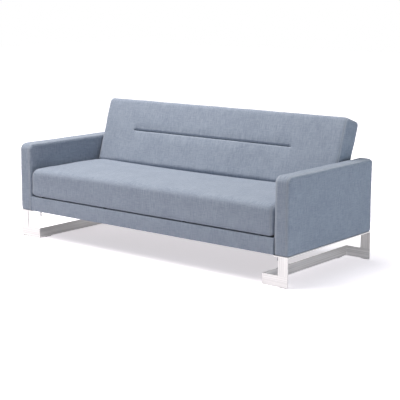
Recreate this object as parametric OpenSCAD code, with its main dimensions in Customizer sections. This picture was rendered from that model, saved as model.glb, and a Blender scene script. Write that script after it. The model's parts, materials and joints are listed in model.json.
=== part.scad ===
// Three-seat click-clack sofa bed: slim track arms on flat-bar sled legs, a bench seat pad that
// lifts at the front and a slab back that reclines flat, both on one pivot line at the crease.
// Frame: +X to the right, +Y to the rear, +Z up, origin on the floor under the middle.

/* [Overall] */
// Width over both arms
sofa_w = 2080; // [1700:10:2400]
// Depth of the arms, front to rear
arm_d = 844; // [820:2:900]
// Thickness of each arm
arm_t = 92; // [80:1:120]
// Height of each arm above its underside
arm_h = 422; // [380:2:460]
// Height of the underside above the floor
under_z = 170; // [150:1:200]

/* [Sled legs] */
// Width of the flat bars that the legs are cut from
bar_w = 63; // [50:1:70]
// Thickness of the flat bars
bar_t = 6; // [5:0.5:8]
// Length of each foot, from the arm's outer face inward
foot_l = 166; // [140:1:200]
// Width of the bolt tabs
tab_w = 50; // [40:1:60]
// How far the bolt tabs reach inward past the arm
tab_l = 34; // [32:1:40]
// Distance of the leg bolts from the front and rear faces
leg_bolt_inset = 66; // [60:1:80]
// Radius of the leg bolts
leg_bolt_r = 4; // [3:0.5:5]
// How far the leg bolts hang below the underside
leg_bolt_drop = 45; // [30:1:55]
// Thickness of the glide strips
glide_t = 2; // [1:0.5:4]
// Length of the glide strips
glide_l = 50; // [30:1:60]
// Radius of the leg screws
leg_screw_r = 2.5; // [2:0.25:3]
// Length of the leg screws above the leg's top plate
leg_screw_l = 40; // [25:1:60]

/* [Arms] */
// Rounding of the arm's edges
arm_round = 16; // [6:1:20]
// Thickness of the padding and fabric on the arm
arm_pad_t = 12; // [8:1:16]
// Width of the timbers in the arm frame
arm_timber = 60; // [50:1:65]

/* [Base] */
// Height of the upholstered rails
rail_h = 92; // [84:1:98]
// Thickness of the front and rear rail boards
rail_t = 26; // [20:1:30]
// Thickness of the padding on the outer face of a rail
rail_pad_t = 8; // [5:1:12]
// Thickness of the padding on top of a rail
rail_top_t = 4; // [2:1:6]
// Thickness of the fabric under a rail
rail_under_t = 3; // [2:0.5:4]
// Thickness of the side rails, bearers and other boards
board_t = 25; // [20:1:28]
// Height of the bearers
bearer_h = 60; // [50:1:70]
// Distance of each bearer from the middle
bearer_x = 420; // [300:10:500]
// Width of the corner blocks
block_w = 40; // [30:1:50]
// Thickness of the dust covers
dust_t = 1.5; // [1:0.5:2]
// Radius of the arm bolts
arm_bolt_r = 4; // [3:0.5:5]
// How far the arm bolts reach into the arm frame
arm_bolt_l = 30; // [20:1:50]
// Height of the arm bolts above the underside
arm_bolt_z = 38; // [30:1:40]

/* [Seat] */
// Height of the sitting surface above the floor
seat_z = 440; // [430:1:460]
// Depth of the sitting surface, front to crease
seat_d = 588; // [560:1:600]
// Gap between the base rails and the seat
seat_gap = 8; // [6:1:10]
// Gap between a pad and the arm beside it
side_gap = 10.5; // [10:0.5:14]
// Rounding of the seat's front top edge
seat_nose_r = 36; // [20:1:45]
// Rounding of the seat's lower edges
seat_low_r = 16; // [8:1:20]
// Height of the seat's timbers
seat_timber_h = 50; // [44:1:55]
// Thickness of the foam in front of the seat frame
seat_wall_t = 25; // [20:1:35]
// Thickness of the slats
slat_t = 8; // [6:1:10]
// Width of the slats
slat_w = 60; // [40:1:70]
// Spacing of the slats
slat_pitch = 100; // [90:1:120]
// Distance of each seat cross rail from the middle
cross_x = 300; // [298:1:302]

/* [Back] */
// Lean of the back from upright, in degrees
lean = 19.5; // [16:0.5:24]
// Height of the back's face above the seat, along its slope
back_rise = 425; // [390:2:450]
// Thickness of the back
back_t = 132; // [128:1:140]
// Thickness of the foam in front of the back frame
back_foam_t = 80; // [76:1:84]
// Thickness of the back's timbers
back_timber_t = 40; // [34:1:42]
// Width of the back's timbers
back_timber_w = 45; // [40:1:50]
// Distance of each middle stile from the middle
stile_x = 300; // [200:10:400]
// Thickness of the webbing
web_t = 2; // [1:0.5:3]
// Width of the webbing straps
web_w = 50; // [40:1:60]
// Rounding of the back's edges
back_round = 18; // [8:1:20]
// Thickness of the foam lip above the back frame
back_top_lip = 12; // [10:1:20]
// Thickness of the foam lip under the back frame
back_low_lip = 10; // [8:1:14]
// Height of the stitched channel above the crease, along the slope
channel_h = 228; // [180:2:260]
// Length of the stitched channel
channel_l = 1214; // [1000:2:1400]
// Distance of the stitched channel's middle from the middle of the back, to the left
channel_shift = 34; // [0:2:60]
// Radius of the stitched channel
channel_r = 5; // [3:1:7]

/* [Hinge] */
// Depth of the pivot line below the seat surface and behind the back's face
pivot_q = 40; // [38:1:44]
// Seat lift, in degrees
lift = 16; // [10:1:18]
// Radius of the pivot bolts
pivot_r = 5; // [4:0.5:6]
// Thickness of the levers and brackets
plate_t = 4; // [3:0.5:4]
// Width of the lever arms
lever_w = 26; // [22:1:30]
// Radius of the lever heads around the pivot
head_r = 16; // [14:0.5:17]
// Radius of the ratchet drums
drum_r = 20; // [19:0.5:21]
// Wall thickness of the ratchet drums
drum_wall = 2; // [1.5:0.5:2]
// Depth of the ratchet drums
drum_w = 12; // [10:1:14]
// Teeth on each ratchet disc
teeth = 16; // [13:1:24]
// Reach of the hinge bracket's foot, forward of the pivot
foot_fore = 70; // [60:1:80]
// Reach of the hinge bracket's foot, rearward of the pivot
foot_aft = 20; // [16:1:24]

/* [Clearances] */
// Radial clearance between a shaft and its hole
fit_gap = 0.05; // [0.02:0.01:0.1]
// Play between neighbouring plates on the pivot
plate_gap = 0.1; // [0.1:0.05:0.2]
// Clearance of a soft pad from the pivot planes
pad_gap = 1; // [0.5:0.25:2]
// Clearance between a resting piece and its stop
rest_gap = 0.3; // [0.2:0.1:0.6]

/* [Hidden] */
smooth = 32;

// How far a cut runs past the face it opens
past = 1;

// Radii of heads, nuts and flanges, over the radius of the bolt
head_ratio = 2;
nut_ratio = 1.8;
flange_ratio = 2.3;

half_w = sofa_w / 2;
inner_x = half_w - arm_t;
pad_x = inner_x - side_gap;

// Depth of the whole sofa: the back's top leans past the arms
back_reach = seat_d + back_rise * sin(lean) + back_t * cos(lean) - back_round * (sin(lean) + cos(lean) - 1);
front_y = -round(max(arm_d, back_reach) * 50) / 100;
rear_y = front_y + arm_d;

// Heights of the base
rail_top = under_z + rail_h;
board_top = rail_top - rail_top_t;
rail_y = front_y + rail_pad_t;
hollow_y = rail_y + rail_t;
hollow_end = rear_y - rail_pad_t - rail_t;

// Pivot line: as deep below the seat as it is behind the back's face, so both lie level when flat
pivot_p = pivot_q * (1 - sin(lean)) / cos(lean);
pivot_y = front_y + seat_d + pivot_p;
pivot_z = seat_z - pivot_q;
back_top = pivot_p + back_rise;
back_rear = back_t - pivot_q;

// Cut of the seat's rear corner: clears the back when the seat is lifted
cut_margin = 1;
seat_cut = atan2(pivot_p, pivot_q) + lift + cut_margin;

// Stack of plates along the pivot, from the bracket inward
lever_inset = 0.5;
washer_t = 0.8;
bracket_x = pad_x + pad_gap;
back_lever_x = pad_x - lever_inset - plate_t;
seat_lever_x = back_lever_x - 2 * plate_gap - washer_t - plate_t;
drum_x = seat_lever_x - drum_w;

// Pockets in the ends of both pads, for the drums and the roots of the levers
nut_w = 7;
thread_end = 2;
pocket_gap = 2.5;
pocket_r = max(drum_r + pocket_gap, lever_w);
pocket_x = drum_x - nut_w - thread_end - pocket_gap;
lever_rim = 4;
lever_boss = 2;

// Seat frame
dust_inset = 0.5;
seat_rear_wall = 15;
seat_frame_x = seat_lever_x;
seat_z0 = rail_top + seat_gap;
seat_rail_z = seat_z0 + dust_inset + dust_t;
slat_z = seat_rail_z + seat_timber_h;
seat_frame_y = front_y + seat_wall_t;
seat_frame_end = pivot_y - pad_gap - seat_rear_wall;

// Back frame, along the normal of the back's face
back_frame_x = back_lever_x;
web_n = back_foam_t - pivot_q;
timber_n = web_n + web_t;
panel_n = timber_n + back_timber_t;
frame_top = back_top - back_top_lip;

// Bolts of the levers, placed from the pivot along the seat rail and up the back stile
seat_bolt_near = 60;
seat_bolt_far = 150;
back_bolt_low = 45;
back_bolt_high = 160;
seat_bolt_z = seat_rail_z + seat_timber_h / 2 - pivot_z;
back_bolt_n = timber_n + back_timber_t / 2;
seat_bolts = [[-seat_bolt_near, seat_bolt_z], [-seat_bolt_far, seat_bolt_z]];
back_bolts = [[back_bolt_n, back_bolt_low], [back_bolt_n, back_bolt_high]];
lever_bolt_r = 4;
lever_bolt_l = 20;
lever_head_t = 3;

arm_bolt_y = [for (k = [-1, 0, 1]) front_y + arm_d / 2 + k * arm_d / 3];
leg_screw_y = [for (k = [-1.5:1:1.5]) front_y + arm_d / 2 + k * arm_d / 4];
leg_bolt_x = inner_x - tab_l / 2;
leg_bolt_y = [front_y + leg_bolt_inset, rear_y - leg_bolt_inset];
leg_plate_z = under_z - bar_t;
screw_r = 2.5;
screw_l = 25;
screw_edge = 3;
screw_end = 15;
bracket_screw_y = [pivot_y - foot_fore + screw_end, pivot_y + foot_aft - screw_end];
bracket_screw_x = inner_x - board_t + head_ratio * screw_r + screw_edge;

// Edge radii inside the crease and under the back
tuck_r = 3;
crease_r = 6;
hidden_r = 10;

fabric = [0.55, 0.61, 0.69];
steel = [0.78, 0.77, 0.76];
zinc = [0.55, 0.57, 0.6];
timber = [0.78, 0.64, 0.44];
dark_cloth = [0.12, 0.12, 0.13];

// ---- Helpers ----

// Box between two corners
module slab(low, high) {
    translate(low) cube(high - low);
}

// Everything on the left is the right side mirrored
module on_side(side) {
    mirror([side == "left" ? 1 : 0, 0, 0]) children();
}

// Both ends of the sofa
module both_sides() {
    for (side = ["left", "right"]) on_side(side) children();
}

// Bar along +X from x0 to x1, centred on a point of the side view
module x_rod(r, x0, x1, y, z, fn = smooth) {
    translate([x0, y, z]) rotate([90, 0, 90]) cylinder(r = r, h = x1 - x0, $fn = fn);
}

// Side-view outline, y to the right and z up, given thickness along +X
module x_plate(x0, x1) {
    translate([x0, 0, 0]) rotate([90, 0, 90]) linear_extrude(x1 - x0) children();
}

// Local frame of the back: Y along its thickness to the rear, Z up its slope, origin on the pivot
module at_back() {
    translate([0, pivot_y, pivot_z]) rotate([-lean, 0, 0]) children();
}

// Side-view frame with its origin on the pivot
module at_pivot() {
    translate([0, pivot_y, pivot_z]) children();
}

// Centre of the rounding of radius r at corner c between its neighbours a and b
function unit(v) = v / norm(v);
function corner_centre(a, c, b, r) =
    let (u = unit(a - c), v = unit(b - c), half_sine = sqrt((1 - u * v) / 2))
    c + unit(u + v) * r / half_sine;

// Soft block with a convex side-view outline, rounded by one radius a corner
module soft_block(outline, radii, half_x) {
    count = len(outline);
    hull()
        for (i = [0:count - 1], side = [-1, 1]) {
            before = outline[(i + count - 1) % count];
            after = outline[(i + 1) % count];
            c = corner_centre(before, outline[i], after, radii[i]);
            translate([side * (half_x - radii[i]), c[0], c[1]]) sphere(radii[i], $fn = smooth);
        }
}

// Flat bar that follows a path in the side view, with a head at its start and a boss at each other point
module link_outline(path, w, head) {
    translate(path[0]) circle(head, $fn = smooth);
    for (i = [1:len(path) - 1]) {
        step = path[i] - path[i - 1];
        translate(path[i]) circle(w / 2 + lever_boss, $fn = smooth);
        translate(path[i - 1]) rotate(atan2(step[1], step[0])) translate([0, -w / 2]) square([norm(step), w]);
    }
}

// ---- Sled legs ----

module sled_leg(side) {
    color(steel) on_side(side) difference() {
        union() {
            slab([inner_x, front_y, leg_plate_z], [half_w, rear_y, under_z]);
            for (y = leg_bolt_y)
                slab([inner_x - tab_l, y - tab_w / 2, leg_plate_z], [inner_x + past, y + tab_w / 2, under_z]);
            for (y = [front_y, rear_y - bar_t]) {
                slab([half_w - bar_w, y, glide_t], [half_w, y + bar_t, leg_plate_z]);
                slab([half_w - foot_l, y, glide_t], [half_w, y + bar_t, bar_w]);
            }
            slab([half_w - foot_l, front_y, glide_t], [half_w - foot_l + bar_t, rear_y, bar_w]);
        }
        for (y = leg_bolt_y)
            translate([leg_bolt_x, y, leg_plate_z - past])
                cylinder(r = leg_bolt_r + fit_gap, h = bar_t + 2 * past, $fn = smooth);
        for (y = leg_screw_y)
            translate([half_w - arm_t / 2, y, leg_plate_z - past])
                cylinder(r = leg_screw_r + fit_gap, h = bar_t + 2 * past, $fn = smooth);
    }
}

module glides(side) {
    bar_x = half_w - foot_l;
    color("black") on_side(side)
        for (end = [0, 1]) {
            foot_y = end == 0 ? front_y : rear_y - bar_t;
            bar_y = end == 0 ? front_y + glide_l : rear_y - 2 * glide_l;
            slab([half_w - bar_w / 2 - glide_l / 2, foot_y, 0],
                 [half_w - bar_w / 2 + glide_l / 2, foot_y + bar_t, glide_t]);
            slab([bar_x, bar_y, 0], [bar_x + bar_t, bar_y + glide_l, glide_t]);
        }
}

module leg_bolts() {
    head_h = 4;
    color(zinc) both_sides()
        for (y = leg_bolt_y)
            translate([leg_bolt_x, y, under_z - leg_bolt_drop]) {
                cylinder(r = leg_bolt_r, h = board_top - under_z + leg_bolt_drop, $fn = smooth);
                translate([0, 0, board_top - under_z + leg_bolt_drop])
                    cylinder(r = head_ratio * leg_bolt_r, h = head_h, $fn = smooth);
            }
}

module leg_nuts() {
    flange_h = 1.5;
    nut_h = nut_ratio * leg_bolt_r;
    color(zinc) both_sides()
        for (y = leg_bolt_y)
            translate([leg_bolt_x, y, leg_plate_z]) difference() {
                union() {
                    translate([0, 0, -flange_h])
                        cylinder(r = flange_ratio * leg_bolt_r, h = flange_h, $fn = smooth);
                    translate([0, 0, -flange_h - nut_h])
                        cylinder(r = nut_ratio * leg_bolt_r, h = nut_h, $fn = 6);
                }
                translate([0, 0, -flange_h - nut_h - past])
                    cylinder(r = leg_bolt_r + fit_gap, h = flange_h + nut_h + 2 * past, $fn = smooth);
            }
}

module leg_screws() {
    head_h = 3;
    color(zinc) both_sides()
        for (y = leg_screw_y)
            translate([half_w - arm_t / 2, y, leg_plate_z]) {
                translate([0, 0, -head_h]) cylinder(r = head_ratio * leg_screw_r, h = head_h, $fn = smooth);
                cylinder(r = leg_screw_r, h = leg_screw_l, $fn = smooth);
            }
}

// ---- Arms ----

module arm_cover(side) {
    color(fabric) on_side(side) difference() {
        hull()
            for (x = [inner_x + arm_round, half_w - arm_round],
                 y = [front_y + arm_round, rear_y - arm_round]) {
                translate([x, y, under_z + arm_h - arm_round]) sphere(arm_round, $fn = smooth);
                translate([x, y, under_z]) cylinder(r = arm_round, h = arm_round, $fn = smooth);
            }
        slab([inner_x + arm_pad_t, front_y + arm_pad_t, under_z - past],
             [half_w - arm_pad_t, rear_y - arm_pad_t, under_z + arm_h - arm_pad_t]);
        for (y = arm_bolt_y)
            x_rod(arm_bolt_r + fit_gap, inner_x - past, inner_x + arm_pad_t + past, y, under_z + arm_bolt_z);
    }
}

module arm_frame(side) {
    x0 = inner_x + arm_pad_t;
    x1 = half_w - arm_pad_t;
    y0 = front_y + arm_pad_t;
    y1 = rear_y - arm_pad_t;
    z1 = under_z + arm_h - arm_pad_t;
    post_pitch = (y1 - y0 - arm_timber) / 3;
    color(timber) on_side(side) difference() {
        union() {
            slab([x0, y0, under_z], [x1, y1, under_z + arm_timber]);
            slab([x0, y0, z1 - arm_timber], [x1, y1, z1]);
            for (k = [0:3])
                slab([x0, y0 + k * post_pitch, under_z], [x1, y0 + k * post_pitch + arm_timber, z1]);
        }
        for (y = arm_bolt_y)
            x_rod(arm_bolt_r + fit_gap, x0 - past, x0 + arm_bolt_l + past, y, under_z + arm_bolt_z);
        for (y = leg_screw_y)
            translate([half_w - arm_t / 2, y, under_z - past])
                cylinder(r = leg_screw_r + fit_gap, h = leg_screw_l - bar_t + 2 * past, $fn = smooth);
    }
}

// ---- Base ----

// Board of the front rail; the rear rail is its mirror image
module rail_board() {
    slab([-inner_x, rail_y, under_z + rail_under_t], [inner_x, hollow_y, board_top]);
}

// Padded fabric wrapped round the outer face, top and underside of a rail
module rail_wrap() {
    edge_r = rail_pad_t / 2;
    difference() {
        union() {
            slab([-inner_x, front_y + edge_r, under_z], [inner_x, hollow_y, rail_top]);
            slab([-inner_x, front_y, under_z + edge_r], [inner_x, hollow_y, rail_top - edge_r]);
            for (z = [under_z + edge_r, rail_top - edge_r])
                x_rod(edge_r, -inner_x, inner_x, front_y + edge_r, z);
        }
        slab([-inner_x - past, rail_y, under_z + rail_under_t], [inner_x + past, hollow_y + past, board_top]);
    }
}

// Mirrors the front of the base to its rear
module to_rear() {
    translate([0, front_y + rear_y, 0]) mirror([0, 1, 0]) children();
}

module front_rail() { color(timber) rail_board(); }
module rear_rail() { color(timber) to_rear() rail_board(); }
module front_rail_cover() { color(fabric) rail_wrap(); }
module rear_rail_cover() { color(fabric) to_rear() rail_wrap(); }

module side_rail(side) {
    color(timber) on_side(side) difference() {
        slab([inner_x - board_t, hollow_y, under_z], [inner_x, hollow_end, board_top]);
        for (y = leg_bolt_y)
            translate([leg_bolt_x, y, under_z - past])
                cylinder(r = leg_bolt_r + fit_gap, h = board_top - under_z + 2 * past, $fn = smooth);
        for (y = arm_bolt_y)
            x_rod(arm_bolt_r + fit_gap, inner_x - board_t - past, inner_x + past, y, under_z + arm_bolt_z);
        for (y = bracket_screw_y)
            translate([bracket_screw_x, y, board_top - screw_l])
                cylinder(r = screw_r + fit_gap, h = screw_l + past, $fn = smooth);
    }
}

module base_bearer(side) {
    color(timber) on_side(side)
        slab([bearer_x - board_t / 2, hollow_y, under_z + dust_t],
             [bearer_x + board_t / 2, hollow_end, under_z + bearer_h]);
}

module corner_blocks() {
    x1 = inner_x - board_t;
    color(timber) both_sides()
        for (y = [hollow_y, hollow_end - block_w])
            slab([x1 - block_w, y, under_z + dust_t], [x1, y + block_w, board_top]);
}

module base_dust_cover() {
    color(dark_cloth)
        slab([board_t - inner_x, hollow_y, under_z], [inner_x - board_t, hollow_end, under_z + dust_t]);
}

module arm_bolts() {
    head_h = 5;
    color(zinc) both_sides()
        for (y = arm_bolt_y) {
            x_rod(arm_bolt_r, inner_x - board_t, inner_x + arm_pad_t + arm_bolt_l, y, under_z + arm_bolt_z);
            x_rod(nut_ratio * arm_bolt_r, inner_x - board_t - head_h, inner_x - board_t,
                  y, under_z + arm_bolt_z, 6);
        }
}

module seat_buffers() {
    r = 12;
    places = [0.33, 0.9];
    color("black") both_sides()
        for (place = places)
            translate([place * inner_x, hollow_y - r, rail_top])
                cylinder(r = r, h = seat_gap - rest_gap, $fn = smooth);
}

module back_stops() {
    half_l = 35;
    places = [-0.6, 0, 0.6];
    color(timber)
        for (place = places)
            slab([place * inner_x - half_l, hollow_end, rail_top],
                 [place * inner_x + half_l, rear_y - rail_pad_t, pivot_z - back_rear - rest_gap]);
}

// ---- Hinge ----

module hinge_bracket(side) {
    x1 = bracket_x + plate_t;
    drop = board_top - pivot_z;
    color(zinc) on_side(side) difference() {
        union() {
            x_plate(bracket_x, x1) translate([pivot_y, pivot_z]) union() {
                circle(head_r, $fn = smooth);
                polygon([[-head_r, 0], [head_r, 0], [foot_aft, drop], [-foot_fore, drop]]);
            }
            slab([inner_x - board_t, pivot_y - foot_fore, board_top],
                 [x1, pivot_y + foot_aft, board_top + plate_t]);
        }
        x_rod(pivot_r + fit_gap, bracket_x - past, x1 + past, pivot_y, pivot_z);
        for (y = bracket_screw_y)
            translate([bracket_screw_x, y, board_top - past])
                cylinder(r = screw_r + fit_gap, h = plate_t + 2 * past, $fn = smooth);
    }
}

module bracket_screws() {
    head_h = 2.5;
    color(zinc) both_sides()
        for (y = bracket_screw_y)
            translate([bracket_screw_x, y, board_top + plate_t]) {
                translate([0, 0, -screw_l]) cylinder(r = screw_r, h = screw_l, $fn = smooth);
                cylinder(r = head_ratio * screw_r, h = head_h, $fn = smooth);
            }
}

module lever_bolt_set(places, x) {
    for (place = places) {
        x_rod(lever_bolt_r, x - lever_bolt_l, x + plate_t, place[0], place[1]);
        x_rod(nut_ratio * lever_bolt_r, x + plate_t, x + plate_t + lever_head_t, place[0], place[1]);
    }
}

module lever_plate(places, x) {
    difference() {
        x_plate(x, x + plate_t) link_outline(concat([[0, 0]], places), lever_w, head_r);
        x_rod(pivot_r + fit_gap, x - past, x + plate_t + past, 0, 0);
        for (place = places)
            x_rod(lever_bolt_r + fit_gap, x - past, x + plate_t + past, place[0], place[1]);
    }
}

module seat_lever(side) { color(zinc) on_side(side) at_pivot() lever_plate(seat_bolts, seat_lever_x); }
module back_lever(side) { color(zinc) on_side(side) at_back() lever_plate(back_bolts, back_lever_x); }
module seat_lever_bolts() { color(steel) both_sides() at_pivot() lever_bolt_set(seat_bolts, seat_lever_x); }
module back_lever_bolts() { color(steel) both_sides() at_back() lever_bolt_set(back_bolts, back_lever_x); }

module ratchet_drum(side) {
    color(zinc) on_side(side) at_pivot() difference() {
        x_rod(drum_r, drum_x, seat_lever_x, 0, 0);
        x_rod(drum_r - drum_wall, drum_x + drum_wall, seat_lever_x + past, 0, 0);
        x_rod(pivot_r + fit_gap, drum_x - past, drum_x + drum_wall + past, 0, 0);
    }
}

module ratchet_disc(side) {
    tooth_gap = 0.5;
    tooth_h = 2.5;
    tooth_w = 3;
    tip_w = 1;
    root_r = drum_r - drum_wall - tooth_gap - tooth_h;
    color(zinc) on_side(side) at_back() difference() {
        x_plate(drum_x + drum_wall + plate_gap, seat_lever_x - plate_gap) union() {
            circle(root_r, $fn = smooth);
            for (k = [0:teeth - 1])
                rotate(k * 360 / teeth)
                    polygon([[root_r - past, -tooth_w / 2], [root_r + tooth_h, -tip_w / 2],
                             [root_r - past, tooth_w / 2]]);
        }
        x_rod(pivot_r + fit_gap, drum_x, seat_lever_x, 0, 0);
    }
}

module pivot_bolt(side) {
    head_x = bracket_x + plate_t + plate_gap;
    color(steel) on_side(side) at_pivot() {
        x_rod(pivot_r, drum_x - nut_w - thread_end, head_x, 0, 0);
        x_rod(head_ratio * pivot_r, head_x, head_x + plate_t, 0, 0);
    }
}

module pivot_nuts() {
    color(steel) both_sides() at_pivot() difference() {
        x_rod(nut_ratio * pivot_r, drum_x - plate_gap - nut_w, drum_x - plate_gap, 0, 0, 6);
        x_rod(pivot_r + fit_gap, drum_x - nut_w - past, drum_x + past, 0, 0);
    }
}

// Two washers a side: between the levers, and between the back lever and the bracket
module hinge_washers() {
    inner = [seat_lever_x + plate_t, back_lever_x];
    outer = [back_lever_x + plate_t, bracket_x];
    color(steel) both_sides() at_pivot()
        for (gap = [inner, outer])
            difference() {
                x_rod(head_ratio * pivot_r, gap[0] + plate_gap, gap[1] - plate_gap, 0, 0);
                x_rod(pivot_r + fit_gap, gap[0] - past, gap[1] + past, 0, 0);
            }
}

// ---- Seat ----

module seat_pad() {
    rear = -pad_gap;
    cut_y = rear - pivot_q * tan(seat_cut);
    outline = [[front_y - pivot_y, seat_z0 - pivot_z], [front_y - pivot_y, pivot_q], [cut_y, pivot_q],
               [rear, 0], [rear, seat_z0 - pivot_z]];
    color(fabric) difference() {
        at_pivot() soft_block(outline, [seat_low_r, seat_nose_r, crease_r, tuck_r, hidden_r], pad_x);
        slab([-seat_frame_x, seat_frame_y, seat_z0 - past], [seat_frame_x, seat_frame_end, slat_z + slat_t]);
        both_sides() at_pivot() {
            x_rod(pocket_r, pocket_x, pad_x + past, 0, 0);
            x_plate(seat_frame_x, pad_x + past)
                link_outline(concat([[0, 0]], seat_bolts), lever_w + 2 * lever_rim, pocket_r);
        }
    }
}

// Piece of the seat frame between two corners in plan
module seat_timber(x0, x1, y0, y1) {
    slab([x0, y0, seat_rail_z], [x1, y1, slat_z]);
}

module seat_front_rail() {
    x1 = seat_frame_x - board_t;
    color(timber) seat_timber(-x1, x1, seat_frame_y, seat_frame_y + board_t);
}

module seat_rear_rail() {
    x1 = seat_frame_x - board_t;
    color(timber) seat_timber(-x1, x1, seat_frame_end - board_t, seat_frame_end);
}

module seat_side(side) {
    color(timber) on_side(side) difference() {
        seat_timber(seat_frame_x - board_t, seat_frame_x, seat_frame_y, seat_frame_end);
        at_pivot()
            for (place = seat_bolts)
                x_rod(lever_bolt_r + fit_gap, seat_frame_x - lever_bolt_l - past, seat_frame_x + past,
                      place[0], place[1]);
    }
}

module seat_cross_rail(side) {
    color(timber) on_side(side)
        seat_timber(cross_x - board_t / 2, cross_x + board_t / 2,
                    seat_frame_y + board_t, seat_frame_end - board_t);
}

module seat_slats() {
    per_side = floor((seat_frame_x - board_t - slat_w / 2) / slat_pitch + 0.5);
    color(timber) both_sides()
        for (k = [0:per_side - 1]) {
            x = (k + 0.5) * slat_pitch;
            slab([x - slat_w / 2, seat_frame_y, slat_z], [x + slat_w / 2, seat_frame_end, slat_z + slat_t]);
        }
}

module seat_dust_cover() {
    color(dark_cloth)
        slab([-seat_frame_x, seat_frame_y, seat_rail_z - dust_t],
             [seat_frame_x, seat_frame_end, seat_rail_z]);
}

// ---- Back ----

module back_pad() {
    low = pad_gap;
    outline = [[0, low], [-pivot_q, low + pivot_p], [-pivot_q, back_top],
               [back_rear, back_top], [back_rear, low]];
    color(fabric) at_back() difference() {
        soft_block(outline, [tuck_r, crease_r, back_round, back_round, hidden_r], pad_x);
        slab([-back_frame_x, web_n, back_low_lip], [back_frame_x, back_rear + past, frame_top]);
        x_rod(channel_r, -channel_shift - channel_l / 2, -channel_shift + channel_l / 2,
              -pivot_q, pivot_p + channel_h);
        both_sides() {
            x_rod(pocket_r, pocket_x, pad_x + past, 0, 0);
            x_plate(back_frame_x, pad_x + past)
                link_outline(concat([[0, 0]], back_bolts), lever_w + 2 * lever_rim, pocket_r);
        }
    }
}

// Piece of the back frame between two corners in its face
module back_timber(x0, x1, u0, u1) {
    slab([x0, timber_n, u0], [x1, panel_n, u1]);
}

module back_top_rail() {
    color(timber) at_back()
        back_timber(-back_frame_x + board_t, back_frame_x - board_t, frame_top - back_timber_w, frame_top);
}

module back_bottom_rail() {
    color(timber) at_back()
        back_timber(-back_frame_x + board_t, back_frame_x - board_t,
                    back_low_lip, back_low_lip + back_timber_w);
}

module back_stile(side) {
    color(timber) on_side(side) at_back() difference() {
        back_timber(back_frame_x - board_t, back_frame_x, back_low_lip, frame_top);
        for (place = back_bolts)
            x_rod(lever_bolt_r + fit_gap, back_frame_x - lever_bolt_l - past, back_frame_x + past,
                  place[0], place[1]);
    }
}

module back_mid_stile(side) {
    color(timber) on_side(side) at_back()
        back_timber(stile_x - back_timber_w / 2, stile_x + back_timber_w / 2,
                    back_low_lip + back_timber_w, frame_top - back_timber_w);
}

module back_webbing() {
    straps = 5;
    pitch = (frame_top - back_low_lip - web_w) / (straps - 1);
    color(dark_cloth) at_back()
        for (k = [0:straps - 1])
            slab([-back_frame_x, web_n, back_low_lip + k * pitch],
                 [back_frame_x, timber_n, back_low_lip + k * pitch + web_w]);
}

module back_panel() {
    color(fabric) at_back()
        slab([-back_frame_x, panel_n, back_low_lip], [back_frame_x, back_rear, frame_top]);
}

sled_leg("left");  // left_sled_leg
sled_leg("right");  // right_sled_leg
glides("left");  // left_glides
glides("right");  // right_glides
leg_bolts();
leg_nuts();
leg_screws();
arm_cover("left");  // left_arm_cover
arm_cover("right");  // right_arm_cover
arm_frame("left");  // left_arm_frame
arm_frame("right");  // right_arm_frame
front_rail();
rear_rail();
side_rail("left");  // left_side_rail
side_rail("right");  // right_side_rail
base_bearer("left");  // left_base_bearer
base_bearer("right");  // right_base_bearer
corner_blocks();
front_rail_cover();
rear_rail_cover();
base_dust_cover();
arm_bolts();
seat_buffers();
back_stops();
hinge_bracket("left");  // left_hinge_bracket
hinge_bracket("right");  // right_hinge_bracket
bracket_screws();
seat_pad();
seat_front_rail();
seat_rear_rail();
seat_side("left");  // seat_left_rail
seat_side("right");  // seat_right_rail
seat_cross_rail("left");  // left_seat_cross_rail
seat_cross_rail("right");  // right_seat_cross_rail
seat_slats();
seat_dust_cover();
seat_lever("left");  // left_seat_lever
seat_lever("right");  // right_seat_lever
seat_lever_bolts();
ratchet_drum("left");  // left_ratchet_drum
ratchet_drum("right");  // right_ratchet_drum
back_pad();
back_top_rail();
back_bottom_rail();
back_stile("left");  // back_left_stile
back_stile("right");  // back_right_stile
back_mid_stile("left");  // left_back_mid_stile
back_mid_stile("right");  // right_back_mid_stile
back_webbing();
back_panel();
back_lever("left");  // left_back_lever
back_lever("right");  // right_back_lever
back_lever_bolts();
ratchet_disc("left");  // left_ratchet_disc
ratchet_disc("right");  // right_ratchet_disc
pivot_bolt("left");  // left_pivot_bolt
pivot_bolt("right");  // right_pivot_bolt
pivot_nuts();
hinge_washers();
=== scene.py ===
import json
import math

import bmesh
import bpy
import numpy as np
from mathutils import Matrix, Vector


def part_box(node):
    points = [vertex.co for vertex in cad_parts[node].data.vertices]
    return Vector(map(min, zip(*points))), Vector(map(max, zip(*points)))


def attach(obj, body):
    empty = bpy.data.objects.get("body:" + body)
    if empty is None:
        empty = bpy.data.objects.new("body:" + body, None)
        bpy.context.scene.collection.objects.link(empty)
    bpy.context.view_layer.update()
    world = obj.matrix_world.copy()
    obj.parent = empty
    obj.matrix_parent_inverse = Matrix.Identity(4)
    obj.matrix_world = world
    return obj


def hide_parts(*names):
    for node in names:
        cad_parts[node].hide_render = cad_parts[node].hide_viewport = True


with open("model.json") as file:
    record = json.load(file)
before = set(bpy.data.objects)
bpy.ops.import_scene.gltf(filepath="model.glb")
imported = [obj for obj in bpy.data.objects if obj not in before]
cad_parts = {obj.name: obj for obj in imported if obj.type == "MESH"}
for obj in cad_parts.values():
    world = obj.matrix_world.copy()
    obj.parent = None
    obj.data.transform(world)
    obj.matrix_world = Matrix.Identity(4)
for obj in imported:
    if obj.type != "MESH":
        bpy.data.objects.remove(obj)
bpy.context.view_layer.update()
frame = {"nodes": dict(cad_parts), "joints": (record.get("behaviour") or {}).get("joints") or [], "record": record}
scene = bpy.context.scene

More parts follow.
